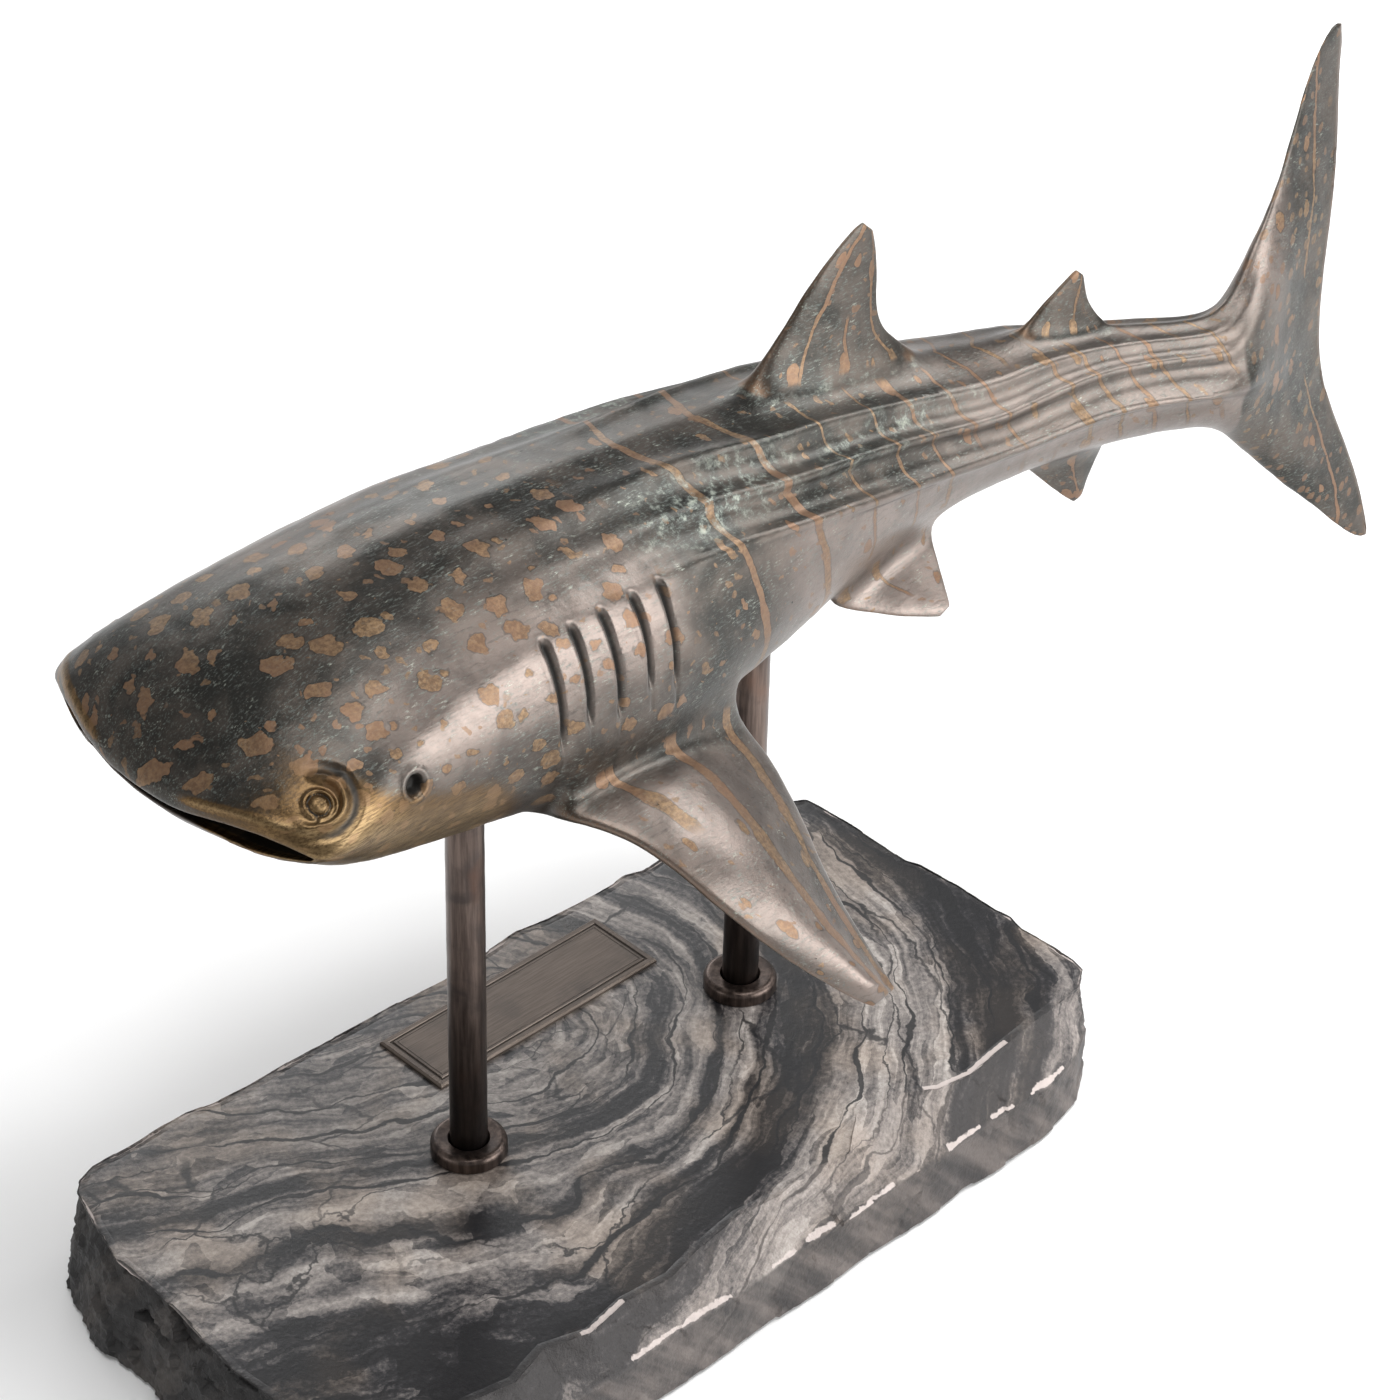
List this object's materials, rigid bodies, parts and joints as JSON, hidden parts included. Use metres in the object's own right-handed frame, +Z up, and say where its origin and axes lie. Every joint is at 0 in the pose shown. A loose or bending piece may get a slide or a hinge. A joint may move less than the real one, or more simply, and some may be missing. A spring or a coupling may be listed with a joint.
{
  "type": "shark figurine",
  "caption": "Cast bronze whale shark swimming on two bronze posts over a rough-edged banded marble slab with a plaque.",
  "frame": {"origin": "on the plane that the felt underside rests on, midway between the two posts", "axes": "+X from the snout towards the tail, along the slab; +Y towards the shark's right side, where the plaque lies; +Z up"},
  "size_m": [0.532, 0.2506, 0.3263],
  "materials": {
    "cast_bronze": "dark patinated bronze with copper spots",
    "post_bronze": "dark brown bronze, satin",
    "plaque_bronze": "brown bronze, satin",
    "marble": "honed top, split edges",
    "fixing_steel": "zinc plated",
    "felt": "black felt"
  },
  "bodies": {
    "root": {"shark": "cast_bronze", "front_post": "post_bronze", "rear_post": "post_bronze", "front_collar": "post_bronze", "rear_collar": "post_bronze", "plaque": "plaque_bronze", "marble_slab": "marble", "front_washer": "fixing_steel", "rear_washer": "fixing_steel", "front_nut": "fixing_steel", "rear_nut": "fixing_steel", "felt_underside": "felt"}
  },
  "joints": []
}
